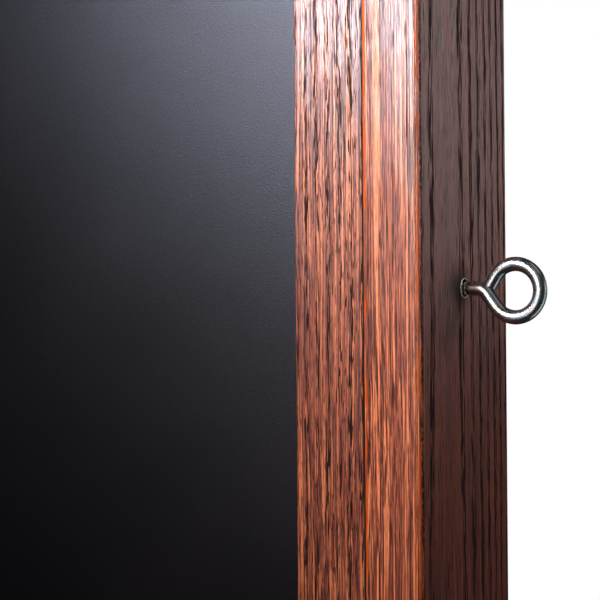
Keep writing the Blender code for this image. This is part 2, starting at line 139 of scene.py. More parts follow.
def add_light(name, place, aim, size, energy, colour=(1, 1, 1), spread=180):
    """A soft box at place, pointed at aim, both in metres from the screw eye's hole."""
    data = bpy.data.lights.new(name, "AREA")
    data.shape = "RECTANGLE"
    data.size, data.size_y = size
    data.energy = energy
    data.color = colour
    data.spread = math.radians(spread)
    light = bpy.data.objects.new(name, data)
    bpy.context.scene.collection.objects.link(light)
    light.location = EYE_POINT + Vector(place)
    light.rotation_euler = (Vector(aim) - Vector(place)).to_track_quat("-Z", "Y").to_euler()
    light.visible_camera = False


def add_lights():
    """Small soft boxes shape the shine at the front, and large ones fill the other sides."""
    # The board's front and its panel
    add_light(
        "key_softbox", (-0.13, -0.35, 0.185), (0, 0, 0.11), (0.16, 0.15),
        energy=0.68, colour=(0.77, 0.86, 1.0), spread=85,
    )
    add_light(
        "arris_softbox", (-0.03, -0.50, 0.13), (0, 0, 0.10), (0.12, 0.20),
        energy=0.30, colour=(1.0, 0.80, 0.68), spread=90,
    )
    add_light(
        "front_softbox", (-0.11, -0.79, 0.056), (0, 0, 0), (0.34, 0.43),
        energy=0.04, colour=(1.0, 0.72, 0.72), spread=120,
    )
    add_light(
        "front_fill", (0.8, -1.7, 1.2), (0, 0, 0), (1.2, 1.2),
        energy=0.98, colour=(1.0, 0.88, 0.80),
    )

    # The right side
    add_light(
        "back_right", (0.30, 0.66, 0.12), (0, 0, 0.02), (0.3, 0.26),
        energy=0.060, colour=(1.0, 0.80, 0.76), spread=120,
    )
    add_light(
        "side_key", (0.39, 0.225, 0.15), (0, 0, 0.03), (0.2, 0.2),
        energy=0.215, colour=(0.85, 0.90, 1.0), spread=100,
    )
    add_light(
        "side_top", (0.9, 0.12, 1.5), (0, 0, 0), (1.0, 1.0),
        energy=1.0, colour=(0.95, 1.0, 0.98),
    )

    # The top and the rear
    add_light(
        "top_fill", (-0.30, 0.15, 1.6), (-0.25, 0.1, 0.25), (0.8, 0.8),
        energy=8, colour=(1.0, 0.99, 0.97),
    )
    add_light(
        "rear_fill", (-1.3, 1.5, 1.1), (-0.2, 0, 0), (2.4, 2.4),
        energy=30, colour=(1.0, 0.99, 0.97),
    )

    # The bright wire by itself
    hook_aim = (-0.2, -0.05, -0.02)
    add_light("wire_front", (-0.06, -0.80, -0.04), (0, 0, 0), (0.34, 0.60), energy=1.05)
    add_light(
        "wire_rim", (0.53, 0.28, -0.3), (0.01, 0, 0), (0.3, 1.3),
        energy=1.0, colour=(0.90, 0.98, 1.0),
    )
    add_light("hook_front", (0.25, -1.0, 0.35), hook_aim, (1.1, 1.1), energy=3.2)
    add_light("hook_side", (1.1, -0.40, 0.2), hook_aim, (0.9, 0.9), energy=2.2)


def flag_light(name, pieces, state):
    """Lets a light reach only these pieces (INCLUDE) or all others (EXCLUDE), as a flag does."""
    chosen = bpy.data.collections.new(name + "_flag")
    for piece in pieces:
        chosen.objects.link(piece)
    bpy.data.objects[name].light_linking.receiver_collection = chosen
    for row in chosen.collection_objects:
        row.light_linking.link_state = state


def flag_lights(screw_eye, hook, ring, eye_lip):
    """Lights the bright wire by itself, and keeps it from being mirrored in the lacquer."""
    for name in ("wire_front", "wire_rim"):
        flag_light(name, (screw_eye, hook, ring, eye_lip), "INCLUDE")
    for name in ("side_key", "top_fill", "rear_fill"):
        flag_light(name, (screw_eye,), "EXCLUDE")
    for name in ("hook_front", "hook_side"):
        flag_light(name, (hook, ring), "INCLUDE")
    for wire in (screw_eye, hook, ring):
        wire.visible_glossy = False
        wire.visible_diffuse = False


# Node building

class Graph:
    """A material's node tree, with one short call for each kind of node."""

    def __init__(self, name):
        self.material = bpy.data.materials.new(name)
        self.material.use_nodes = True
        self.tree = self.material.node_tree
        self.shader = self.tree.nodes["Principled BSDF"]

    def put(self, socket, value):
        if isinstance(value, bpy.types.NodeSocket):
            self.tree.links.new(value, socket)
        elif isinstance(value, (tuple, list)) and len(value) == 3 and socket.type == "RGBA":
            socket.default_value = (*value, 1)
        else:
            socket.default_value = value

    def node(self, kind, settings=None, **inputs):
        made = self.tree.nodes.new("ShaderNode" + kind)
        for key, value in (settings or {}).items():
            setattr(made, key, value)
        for key, value in inputs.items():
            self.put(made.inputs[key.replace("_", " ")], value)
        return made

    def coords(self):
        """Object coordinates in millimetres."""
        place = self.tree.nodes.new("ShaderNodeTexCoord").outputs["Object"]
        return self.vector("MULTIPLY", place, (1000, 1000, 1000))

    def vector(self, operation, first, second=(0, 0, 0)):
        made = self.tree.nodes.new("ShaderNodeVectorMath")
        made.operation = operation
        self.put(made.inputs[0], first)
        self.put(made.inputs[1], second)
        return made.outputs["Value" if operation in ("LENGTH", "DOT_PRODUCT") else "Vector"]

    def math(self, operation, first, second=0.0, third=0.0):
        made = self.tree.nodes.new("ShaderNodeMath")
        made.operation = operation
        for socket, value in zip(made.inputs, (first, second, third)):
            self.put(socket, value)
        return made.outputs[0]

    def times(self, *factors):
        product = factors[0]
        for factor in factors[1:]:
            product = self.math("MULTIPLY", product, factor)
        return product

    def axis(self, place, letter):
        return self.node("SeparateXYZ", Vector=place).outputs[letter]

    def noise(self, place, scale, seed=0.0, detail=1.0, roughness=0.5, colour=False):
        """Noise whose cells measure scale mm along x, y and z. seed moves it elsewhere."""
        moved = self.vector("MULTIPLY", place, tuple(1 / size for size in scale))
        moved = self.vector("ADD", moved, (seed * 7.3, seed * 3.1, seed * 5.7))
        made = self.node("TexNoise", Scale=1.0, Detail=detail, Roughness=roughness, Vector=moved)
        return made.outputs["Color" if colour else "Fac"]

    def ramp(self, value, low, high, start=0.0, stop=1.0):
        """start below low, stop above high, and a smooth step between."""
        made = self.node(
            "MapRange", {"interpolation_type": "SMOOTHSTEP"},
            Value=value, From_Min=low, From_Max=high, To_Min=start, To_Max=stop,
        )
        return made.outputs["Result"]

    def mix(self, factor, first, second):
        made = self.tree.nodes.new("ShaderNodeMix")
        made.data_type = "RGBA"
        self.put(made.inputs["Factor"], factor)
        self.put(made.inputs[6], first)
        self.put(made.inputs[7], second)
        return made.outputs[2]

    def layer(self, colour, *coats):
        """colour with each (share, coat) laid over it in turn."""
        for share, coat in coats:
            colour = self.mix(share, colour, coat)
        return colour

    def bump(self, height, distance, normal=None):
        made = self.node("Bump", Height=height, Distance=distance, Strength=1.0)
        if normal is not None:
            self.put(made.inputs["Normal"], normal)
        return made.outputs["Normal"]

    def attribute(self, name):
        return self.node("Attribute", {"attribute_name": name}).outputs["Fac"]

    def surface(self, **inputs):
        for key, value in inputs.items():
            self.put(self.shader.inputs[key.replace("_", " ")], value)
        return self.material


# Materials

OAK_RED = (0.275, 0.050, 0.020)
OAK_BROWN = (0.075, 0.013, 0.006)
OAK_GOLD = (0.76, 0.215, 0.075)
# The next colour is painted shade for the oak faces behind the front one
OAK_SHADED_FLANK = (0.122, 0.026, 0.018)
OAK_SPECK = (0.030, 0.007, 0.003)
OAK_HALO = (0.050, 0.012, 0.005)
OAK_PORE = (0.014, 0.0030, 0.0014)
OAK_WORN = (0.66, 0.092, 0.001)
# The next colour is painted shade by the inner arrises, beside the board and in front of the screw
# eye, and darker bands by the outer arrises
OAK_SHADE_AND_DARK = (0.022, 0.004, 0.001)
# The next colour is painted glints
OAK_PAINTED_GLINT = (0.80, 0.17, 0.015)


def early_wood(g, bent, ragged, pith, ring):
    """1 in the early wood of each year's ring, fading to 0 in its late wood."""
    across = g.vector("MULTIPLY", g.vector("SUBTRACT", bent, (0, *pith)), (0, 1, 1))
    radius = g.math("MULTIPLY_ADD", ragged, 0.9, g.vector("LENGTH", across))
    phase = g.math("FRACT", g.math("DIVIDE", radius, ring))
    return g.times(g.ramp(phase, 0.0, 0.05), g.ramp(phase, 0.26, 0.58, 1.0, 0.0))


def painted_shade_and_darkening(g, place, front, ragged, patch, corner_shade, eye_shadow):
    """Darkening: painted shade by the inner arrises, beside the board and in front of the screw
    eye's hole, and darker bands by the outer arrises.
    """
    shade_and_darkening = g.times(g.attribute("darkened_edge"), g.ramp(patch, 0.66, 0.48, 0.35, 1.0))
    if corner_shade is not None:
        joint = g.times(g.ramp(g.axis(place, "Z"), corner_shade, corner_shade + 0.45, 1.0, 0.0), front)
        shade_and_darkening = g.math("MAXIMUM", shade_and_darkening, joint)
    if eye_shadow is not None:
        # The painted shadow of the screw eye lies 3 mm in front of the hole
        centre = (0, eye_shadow - 3, 0)
        reach = g.vector("LENGTH", g.vector("SUBTRACT", place, centre))
        reach = g.math("MULTIPLY_ADD", ragged, 3.0, reach)
        shade_and_darkening = g.math("MAXIMUM", shade_and_darkening, g.ramp(reach, 3.5, 12.0, 0.85, 0.0))
    return shade_and_darkening


def stained_oak(
    name, pith, seed, tone, ring=3.75, pore=(14, 0.56, 0.22), gloss=1.0,
    banding=0.25, corner_shade=None, eye_shadow=None,
):
    """Red-brown stained oak under satin lacquer.

    Local x runs along the grain, y back from the front face and z inwards from the outer one.
    pith is the tree's centre as (depth, inwards), ring the width of a year's growth and pore
    the length, depth and width of a pore's streak, all in mm. banding is how strongly the pores
    gather in each year's early wood. Painted shade darkens the face where it meets a board,
    out to the given distance in mm measured inwards, and a painted shadow of the screw eye
    darkens the face in front of a hole whose depth in mm back from the front edge is given.
    """
    g = Graph(name)
    place = g.coords()

    # front is 1 on the front face only, and calm is how strongly the grain's lines show
    depth = g.axis(place, "Y")
    front = g.ramp(depth, 1.0, 2.0, 1.0, 0.0)
    calm = g.ramp(depth, 1.5, 4.0, 1.0, 0.30)

    # The grain wanders a little along the strip
    ragged = g.noise(place, (30, 1.6, 1.6), seed + 1, 2.0)
    wander = g.noise(place, (170, 70, 70), seed, 1.0, colour=True)
    wander = g.vector("MULTIPLY", g.vector("SUBTRACT", wander, (0.5, 0.5, 0.5)), (0, 5, 5))
    bent = g.vector("ADD", place, wander)
    early = early_wood(g, bent, ragged, pith, ring)

    # Pores open where growth rises over a bar, with a darker halo, and specks lie between them
    growth = g.noise(bent, pore, seed + 2, 1.5, 0.55)
    growth = g.math("MULTIPLY_ADD", early, banding, growth)
    growth = g.math("MULTIPLY_ADD", g.noise(bent, (70, 4, 4), seed + 3, 1.0), 0.20, growth)
    growth = g.math("MULTIPLY_ADD", front, 0.09 - 1.04 * banding, growth)
    bar = 0.634 + 0.77 * banding
    pores = g.ramp(growth, bar, bar + 0.02)
    halo = g.ramp(growth, bar - 0.050, bar + 0.005)
    half_pore = tuple(size * 0.5 for size in pore)
    specks = g.ramp(g.noise(bent, half_pore, seed + 4, 1.0), 0.60, 0.64)

    # Fibres, longer light and dark lines, and clouds in the stain
    fibre = g.noise(bent, (12, 0.22, 0.20), seed + 5, 1.5, 0.65)
    bright_line = g.ramp(g.noise(bent, (150, 0.9, 0.74), seed + 6, 1.0), 0.545, 0.59)
    dark_line = g.ramp(g.noise(bent, (60, 0.6, 0.36), seed + 12, 1.0), 0.43, 0.39)
    cloud = g.noise(place, (48, 10, 10), seed + 7, 2.0)
    red, brown, gold = (
        tuple(tone * c for c in colour) for colour in (OAK_RED, OAK_BROWN, OAK_GOLD)
    )
    colour = g.layer(
        red,
        (g.ramp(cloud, 0.42, 0.72, 0.0, 0.65), brown),
        (g.times(g.ramp(fibre, 0.53, 0.59, 0.0, 0.90), calm), brown),
        (g.times(g.ramp(fibre, 0.45, 0.39, 0.0, 0.60), calm), gold),
        (g.times(bright_line, calm, 0.90), gold),
        (g.times(dark_line, calm, 0.95), brown),
        # Painted shade: the faces behind the front one are mixed towards a darker brown
        (g.ramp(depth, 1.5, 4.0, 0.0, 0.45), OAK_SHADED_FLANK),
        (g.times(specks, 0.80), OAK_SPECK),
        (g.times(halo, 0.65), OAK_HALO),
        (g.times(pores, 0.95), OAK_PORE),
    )

    # Wear, painted shade by the inner arrises, beside the board and round the eye, darker outer
    # arris bands, and painted glints
    worn = g.attribute("worn")
    darkened_edge = g.attribute("darkened_edge")
    patch = g.noise(place, (14, 1.3, 1.3), seed + 8, 2.0)
    rub = g.times(worn, g.ramp(patch, 0.40, 0.55, 0.15, 1.0))
    shade_and_darkening = painted_shade_and_darkening(g, place, front, ragged, patch, corner_shade, eye_shadow)
    # Painted glints: bright orange flecks in the colour along the darkened arrises
    painted_glint = g.ramp(g.noise(place, (1.5, 0.35, 0.35), seed + 11, 1.0), 0.57, 0.63)
    colour = g.layer(
        colour,
        (rub, OAK_WORN),
        (shade_and_darkening, OAK_SHADE_AND_DARK),
        (g.times(painted_glint, darkened_edge, 0.8), OAK_PAINTED_GLINT),
    )

    # Relief of the bare grain and of the lacquer over it
    edge = g.math("MAXIMUM", worn, darkened_edge)
    height = g.math("MULTIPLY_ADD", halo, -0.5, g.times(fibre, -0.55))
    height = g.math("MULTIPLY_ADD", pores, -0.9, height)
    height = g.math("MULTIPLY_ADD", specks, -0.35, height)
    pits = g.noise(place, (1.6, 0.45, 0.45), seed + 10, 2.0, 0.6)
    height = g.math("MULTIPLY_ADD", g.times(pits, edge), 3.0, height)
    uneven = g.noise(place, (34, 4, 4), seed + 9, 2.0)
    grain = g.bump(uneven, 0.20 * MM, g.bump(height, 0.15 * MM))
    film = g.bump(uneven, 0.20 * MM, g.bump(height, 0.105 * MM))

    # Lacquer is thin and dull over the open grain, and gone where the wood is worn or darkened
    dull = g.math("MAXIMUM", halo, g.times(specks, 0.6))
    dull = g.math("MAXIMUM", dull, g.times(dark_line, front, 0.55))
    dull = g.times(dull, g.math("SUBTRACT", 1.0, edge))
    rough = g.ramp(dull, 0.0, 1.0, 0.46, 0.80)
    filmed = g.math("SUBTRACT", 1.0, g.math("MAXIMUM", rub, g.times(shade_and_darkening, 0.92)))
    return g.surface(
        Base_Color=colour,
        Roughness=g.math("MULTIPLY_ADD", g.attribute("polished"), -0.27, rough),
        Specular_IOR_Level=0.22,
        Normal=grain,
        Coat_Weight=g.times(g.ramp(dull, 0.0, 1.0, gloss, 0.05), filmed),
        Coat_Roughness=0.28,
        Coat_IOR=1.75,
        Coat_Normal=film,
    )


def black_paint():
    """Matt blue-black paint with a fine grain and a few specks of dust."""
    g = Graph("black_paint")
    place = g.coords()
    grain = g.noise(place, (0.42, 0.42, 0.42), 1, 1.5, 0.6)
    cloud = g.noise(place, (60, 60, 60), 2, 2.0)
    face = g.vector("MULTIPLY", place, (0.06, 0.0, 0.06))
    cells = g.node("TexVoronoi", Scale=1.0, Vector=face)
    dust = g.ramp(cells.outputs["Distance"], 0.012, 0.026, 0.5, 0.0)
    colour = g.layer(
        (0.0020, 0.0015, 0.0018),
        (g.ramp(cloud, 0.35, 0.65), (0.0028, 0.0021, 0.0024)),
        (g.ramp(grain, 0.52, 0.70, 0.0, 0.8), (0.011, 0.011, 0.013)),
        (dust, (0.30, 0.32, 0.36)),
    )
    return g.surface(
        Base_Color=colour,
        Roughness=g.ramp(cloud, 0.3, 0.7, 0.335, 0.365),
        Specular_IOR_Level=0.5,
        Specular_Tint=(0.92, 0.88, 0.96, 1.0),
        Normal=g.bump(grain, 0.115 * MM),
    )


def bright_metal(name, colour, rough):
    """Bright metal with faint smudges, a fine grain and slight teal and straw tints."""
    g = Graph(name)
    place = g.coords()
    smudge = g.noise(place, (3, 3, 3), 3, 3.0)
    tint = g.noise(place, (5, 5, 5), 7, 1.0)
    fine = g.noise(place, (0.5, 0.5, 0.5), 5, 2.0)
    teal = tuple(c * share for c, share in zip(colour, (0.78, 0.95, 0.98)))
    straw = tuple(c * share for c, share in zip(colour, (1.02, 0.94, 0.84)))
    shade = g.layer(
        colour,
        (g.ramp(tint, 0.52, 0.64), teal),
        (g.ramp(tint, 0.46, 0.36), straw),
        (g.ramp(smudge, 0.45, 0.7, 0.0, 0.5), tuple(0.6 * c for c in colour)),
    )
    return g.surface(
        Base_Color=shade,
        Metallic=1.0,
        Roughness=g.ramp(smudge, 0.35, 0.7, rough, rough + 0.07),
        Normal=g.bump(fine, 0.005 * MM),
    )


def pale_wood(name, light, dark, scale, seed):
    """Unfinished planed wood, its grain along the axis with the longest cell."""
    g = Graph(name)
    place = g.coords()
    bands = g.noise(place, tuple(size * 8 for size in scale), seed, 2.0)
    fibre = g.noise(place, scale, seed + 1, 2.0)
    colour = g.layer(
        light,
        (g.ramp(bands, 0.35, 0.65), dark),
        (g.ramp(fibre, 0.45, 0.70, 0.0, 0.5), tuple(0.6 * c for c in dark)),
    )
    return g.surface(Base_Color=colour, Roughness=0.62, Normal=g.bump(fibre, 0.08 * MM))


def moulded_rubber():
    g = Graph("bumper_rubber")
    grain = g.noise(g.coords(), (0.3, 0.3, 0.3), 4, 1.0)
    return g.surface(
        Base_Color=(0.018, 0.018, 0.019), Roughness=0.62, Normal=g.bump(grain, 0.03 * MM)
    )


# Strips of the frame

def rounded_outline(corners):
    """Points round an outline of (inwards, depth, radius) corners, with arcs and support points."""
    points = []
    for index, (x, y, radius) in enumerate(corners):
        here = Vector((x, y))
        before = (Vector(corners[index - 1][:2]) - here).normalized()
        after = (Vector(corners[(index + 1) % len(corners)][:2]) - here).normalized()
        points.append(here + before * (radius + SUPPORT))
        if radius == 0:
            points.append(here)
        else:
            centre = here + (before + after) * radius
            start = here + before * radius - centre
            turn = start.angle_signed(here + after * radius - centre)
            for step in range(ARC_STEPS + 1):
                spoke = start.copy()
                spoke.rotate(Matrix.Rotation(-turn * step / ARC_STEPS, 2))
                points.append(centre + spoke)
        points.append(here + after * (radius + SUPPORT))
    full = []
    for index, point in enumerate(points):
        ahead = points[(index + 1) % len(points)]
        full.append(point)
        cuts = int((ahead - point).length / FACE_STEP)
        for cut in range(1, cuts + 1):
            full.append(point.lerp(ahead, cut / (cuts + 1)))
    return full


# How far each side's strip is turned from the bottom one's place, and whether it stands upright
SIDES = {
    "bottom": (0, False),
    "right": (-math.pi / 2, True),
    "top": (math.pi, False),
    "left": (math.pi / 2, True),
}


def add_strip(side, label, corners, inset, front, masks, material, slot):
    """One mitred strip of the frame. masks gives the wear, darkening (partly painted shade) and
    polish at each point of its outline.
    """
    turn, upright = SIDES[side]
    across = WIDTH if upright else HEIGHT
    length = (HEIGHT if upright else WIDTH) - 2 * inset
    outline = rounded_outline(corners)
    stations = int(length / STATION)
    seed = Vector((sum(map(ord, side + label)), 0, 0))
    middle = Vector((0, (DEPTH if label == "board" else TRIM_THICKNESS) / 2, STOCK / 2))
    bm = bmesh.new()
    rows, shares = [], []
    for station in range(stations + 1):
        share = 2 * station / stations - 1
        row = []
        for inwards, backwards in outline:
            along = share * (length / 2 - inwards - GAP / 2 * math.sqrt(2))
            worn, darkened_edge, polished = masks(inwards, backwards)
            spot = Vector((along, backwards, inwards))
            chance = noise.noise(spot / DENT_SIZE + seed) + 0.3
            dent = DENT_DEPTH * max(worn, darkened_edge) * max(0.0, chance)
            inward = (middle - Vector((0, backwards, inwards))).normalized()
            row.append(bm.verts.new(spot + inward * dent))
            shares.append((worn, darkened_edge, polished))
        rows.append(row)
    count = len(outline)
    for row, ahead in zip(rows, rows[1:]):
        for index in range(count):
            beside = (index + 1) % count
            bm.faces.new((row[index], row[beside], ahead[beside], ahead[index]))
    bm.faces.new(rows[0])
    bm.faces.new(reversed(rows[-1]))
    bmesh.ops.recalc_face_normals(bm, faces=bm.faces)
    name = f"{side}_{label}_oak"
    mesh = bpy.data.meshes.new(name)
    bm.to_mesh(mesh)
    bm.free()
    for number, mask in enumerate(("worn", "darkened_edge", "polished")):
        attribute = mesh.attributes.new(mask, "FLOAT", "POINT")
        attribute.data.foreach_set("value", [share[number] for share in shares])
    obj = add_piece(name, mesh, material, "board", slot, f"{side}_{label}")
    edge = Matrix.Rotation(turn, 3, "Y") @ Vector((0, 0, inset - across / 2))
    place = Vector((0, front, HEIGHT / 2)) + edge
    obj.matrix_world = Matrix.Translation(place) @ Matrix.Rotation(turn, 4, "Y")
    return obj


def add_piece(name, mesh, material, body, slot, *replaced):
    obj = bpy.data.objects.new(name, mesh)
    bpy.context.scene.collection.objects.link(obj)
    mesh.materials.append(material)
    mesh.shade_smooth()
    mesh.set_sharp_from_angle(angle=SHARP)
    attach(obj, body)
    if replaced:
        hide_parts(*replaced)
    return obj


def hump(value, middle, half):
    """1 at middle, falling evenly to 0 at half either side of it."""
    return max(0.0, 1 - abs(value - middle) / half)


def board_masks(inwards, backwards):
    """Worn, darkened and polished shares on a board's two front arrises. The inner arris's
    darkening is painted shade.
    """
    if inwards < OUTER_ARRIS and backwards < OUTER_ARRIS:
        angle = math.degrees(math.atan2(OUTER_ARRIS - inwards, OUTER_ARRIS - backwards))
        darkened_edge = max(min(1.0, 2 * hump(angle, 78, 27)), hump(angle, 27, 8))
        return min(1.0, 1.4 * hump(angle, 43, 13)), darkened_edge, min(1.0, 1.3 * hump(angle, 9, 14))
    deep = INNER_ARRIS - (STOCK - inwards)
    if deep > 0 and backwards < INNER_ARRIS:
        angle = math.degrees(math.atan2(deep, INNER_ARRIS - backwards))
        return min(1.0, 1.6 * hump(angle, 16, 40)), hump(angle, 72, 26), 0.0
    return 0.0, 0.0, 0.0


def trim_masks(inwards, backwards):
    """Worn, darkened and polished shares on the trim's inner arris, where the darkening is painted
    shade.
    """
    deep = TRIM_ARRIS - (TRIM_WIDTH - inwards)
    if deep > 0 and backwards < TRIM_ARRIS:
        angle = math.degrees(math.atan2(deep, TRIM_ARRIS - backwards))
        return 0.3 * hump(angle, 20, 25), hump(angle, 55, 32), 0.8 * hump(angle, 0, 24)
    return 0.0, 0.0, 0.0


def board_corners():
    return [
        (0, 0, OUTER_ARRIS),
        (STOCK, 0, INNER_ARRIS),
        (STOCK, DEPTH, BACK_ARRIS),
        (0, DEPTH, BACK_ARRIS),
    ]


def trim_corners():
    seat = TRIM_WIDTH - TRIM_RABBET
    return [
        (0, 0, TRIM_ARRIS),
        (TRIM_WIDTH, 0, TRIM_ARRIS),
        (TRIM_WIDTH, TRIM_LIP, 0),
        (seat, TRIM_LIP, 0),
        (seat, TRIM_THICKNESS, 0),
        (0, TRIM_THICKNESS, 0),
    ]


def bore(board, *cutters):
    """Cuts closed meshes out of a board and keeps its wear, darkening and polish attributes."""
    for cutter in cutters:
        tool = bpy.data.objects.new("bore", cutter)
        bpy.context.scene.collection.objects.link(tool)
        cut = board.modifiers.new("bore", "BOOLEAN")
        cut.operation = "DIFFERENCE"
        cut.solver = "EXACT"
        cut.object = tool
        graph = bpy.context.evaluated_depsgraph_get()
        cut_mesh = bpy.data.meshes.new_from_object(board.evaluated_get(graph))
        board.modifiers.clear()
        board.data = cut_mesh
        bpy.data.objects.remove(tool)
    board.data.shade_smooth()
    board.data.set_sharp_from_angle(angle=SHARP)


def eye_bore():
    """The screw eye's pilot hole, torn wider at its mouth. The depths and radii are in mm."""
    depths = (-17.2, -17.0, -1.1, -0.6, -0.25, 0.05, 0.6)
    radii = (0.4, 2.75, 2.75, 2.75, 2.80, 2.88, 3.0)
    line = [Vector((depth * MM, 0, 0)) for depth in depths]

    def torn(index, angle):
        if index < 3:
            return 0.0
        spot = Vector((math.cos(angle) * 1.7, math.sin(angle) * 1.7, 4.2))
        return 0.18 * MM * (index - 2) / 4 * noise.noise(spot * 1.6)

    mesh = swept_tube("eye_bore", line, [radius * MM for radius in radii], 48, ridge=torn)
    mesh.transform(Matrix.Translation(EYE_POINT) @ Matrix.Rotation(EYE_DROOP, 4, "Y"))
    return mesh


def nail_bores(side):
    """The countersinks over the nails that cross a side board's corners."""
    outward, face = (1, RIGHT) if side == "right" else (-1, LEFT)
    bores = []
    for name in frame["nodes"]:
        low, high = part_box(name)
        middle = (low + high) / 2
        if not name.startswith("corner_nail") or middle.x * outward < 0:
            continue
        head = (high.x if side == "right" else low.x) - 0.05 * MM * outward
        radius = (high.z - low.z) / 2 + 0.06 * MM
        line = [
            Vector((head, middle.y, middle.z)),
            Vector(((head + face) / 2, middle.y, middle.z)),
            Vector((face + 0.5 * MM * outward, middle.y, middle.z)),
        ]
        bores.append(swept_tube("nail_bore", line, [radius, radius * 1.02, radius * 1.15], 24))
    return bores


def add_eye_lip(material):
    """The bead pushed up round the mouth of the pilot hole."""
    points, radii = [], []
    for index in range(72):
        angle = 2 * math.pi * index / 72
        spot = Vector((math.cos(angle), math.sin(angle), 0.5)) * 2.4
        reach = (2.96 + 0.12 * noise.noise(spot)) * MM
        points.append(
            EYE_POINT + Vector((0.02 * MM, reach * math.cos(angle), reach * math.sin(angle)))
        )
        radii.append((0.15 + 0.09 * noise.noise(spot * 2.6 + Vector((5, 0, 0)))) * MM)
    mesh = swept_tube("eye_lip", points, radii, 16, cyclic=True)
    return add_piece("eye_lip", mesh, material, "board", "stained_oak")


def scraped_plating():
    """Plating and lacquer scraped into a bright bead by the mouth of the hole."""
    g = Graph("scraped_plating")
    place = g.coords()
    patch = g.noise(place, (0.9, 0.9, 0.9), 31, 2.0)
    colour = g.mix(g.ramp(patch, 0.38, 0.48), (0.70, 0.24, 0.05), (0.93, 0.93, 0.88))
    return g.surface(
        Base_Color=colour,
        Metallic=0.9,
        Roughness=0.32,
        Normal=g.bump(g.noise(place, (0.35, 0.35, 0.35), 33, 2.0), 0.05 * MM),
    )


# Bent wire

def bent_wire(loop, sweep, tip):
    """The wire's line in the XZ plane: neck along +X, bend, run, loop and straight tip."""
    slope = Vector((math.cos(BEND_ANGLE), 0, -math.sin(BEND_ANGLE)))
    square = Vector((math.sin(BEND_ANGLE), 0, math.cos(BEND_ANGLE)))
    points = [Vector((NECK * share / 4, 0, 0)) for share in range(5)]
    for step in range(1, 13):
        angle = BEND_ANGLE * step / 12
        points.append(Vector((NECK + BEND * math.sin(angle), 0, BEND * (math.cos(angle) - 1))))
    drop = loop * math.cos(BEND_ANGLE) - BEND * (1 - math.cos(BEND_ANGLE))
    start = points[-1]
    run_end = start + slope * (drop / math.sin(BEND_ANGLE))
    points += [start.lerp(run_end, share / 4) for share in range(1, 4)]
    centre = run_end + square * loop
    steps = round(math.degrees(sweep) / 3)
    for step in range(steps + 1):
        turned = sweep * step / steps
        spoke = Matrix.Rotation(-turned, 3, "Y") @ (-square * loop)
        points.append(centre + spoke)
    ahead = (points[-1] - points[-2]).normalized()
    last = points[-1]
    points += [last + ahead * tip * share / 4 for share in range(1, 5)]
    return points


def swept_tube(name, points, radii, sides=40, cyclic=False, ridge=None):
    """A tube through points. ridge(index, angle) adds to the radius, and the ends are closed."""
    bm = bmesh.new()
    rows = []
    count = len(points)
    side = None
    for index, point in enumerate(points):
        before = points[index - 1] if index or cyclic else point
        after = points[(index + 1) % count] if index < count - 1 or cyclic else point
        ahead = (after - before).normalized()
        if side is None:
            side = ahead.orthogonal().normalized()
        side = (side - ahead * side.dot(ahead)).normalized()
        up = ahead.cross(side)
        row = []
        for step in range(sides):
            angle = 2 * math.pi * step / sides
            reach = radii[index] + (ridge(index, angle) if ridge else 0)
            spoke = side * math.cos(angle) + up * math.sin(angle)
            row.append(bm.verts.new(point + spoke * reach))
        rows.append(row)
    pairs = list(zip(rows, rows[1:]))
    if cyclic:
        pairs.append((rows[-1], rows[0]))
    for row, ahead in pairs:
        for step in range(sides):
            beside = (step + 1) % sides
            bm.faces.new((row[step], row[beside], ahead[beside], ahead[step]))
    if not cyclic:
        bm.faces.new(rows[0])
        bm.faces.new(reversed(rows[-1]))
    bmesh.ops.recalc_face_normals(bm, faces=bm.faces)
    mesh = bpy.data.meshes.new(name)
    bm.to_mesh(mesh)
    bm.free()
    return mesh


def threaded_wire(name, line, wire, thread):
    """A bent wire with a pointed wood-screw thread behind its neck and a lightly dressed tip."""
    core = wire * THREAD_CORE
    points, radii, ribs = [], [], []
    for index in range(int((thread - 0.1 * MM) / THREAD_STEP)):
        height = -thread + index * THREAD_STEP
        from_tip = height + thread
        points.append(Vector((height, 0, 0)))
        radii.append(core * max(0.12, min(1.0, from_tip / THREAD_POINT)))
        near_neck = max(0.25, -height / (1.2 * MM))
        ribs.append(min(1.0, from_tip / (0.7 * THREAD_POINT), near_neck))
    shoulder = len(points)
    points += line
    radii += [wire] * len(line)
    radii[shoulder] = core
    ribs += [0.0] * len(line)
    ahead = (line[-1] - line[-2]).normalized()
    for advance, share in ((0.06 * MM, 0.98), (0.12 * MM, 0.93), (0.15 * MM, 0.86)):
        points.append(line[-1] + ahead * advance)
        radii.append(wire * share)
        ribs.append(0.0)

    def ridge(index, angle):
        if not ribs[index]:
            return 0.0
        height = points[index].x
        phase = (height / THREAD_PITCH - angle / (2 * math.pi)) % 1.0
        crest = max(0.0, 1 - abs(phase - 0.5) / 0.24)
        return THREAD_RIB * ribs[index] * crest ** 0.8

    return swept_tube(name, points, radii, 48, ridge=ridge)


def add_screw_eye(metal):
    line = bent_wire(EYE_LOOP, EYE_SWEEP, EYE_TIP)
    mesh = threaded_wire("screw_eye_wire", line, EYE_WIRE, EYE_THREAD)
    mesh.transform(Matrix.Translation(EYE_POINT) @ Matrix.Rotation(EYE_DROOP, 4, "Y"))
    return add_piece("screw_eye_wire", mesh, metal, "eye", "zinc", "screw_eye")


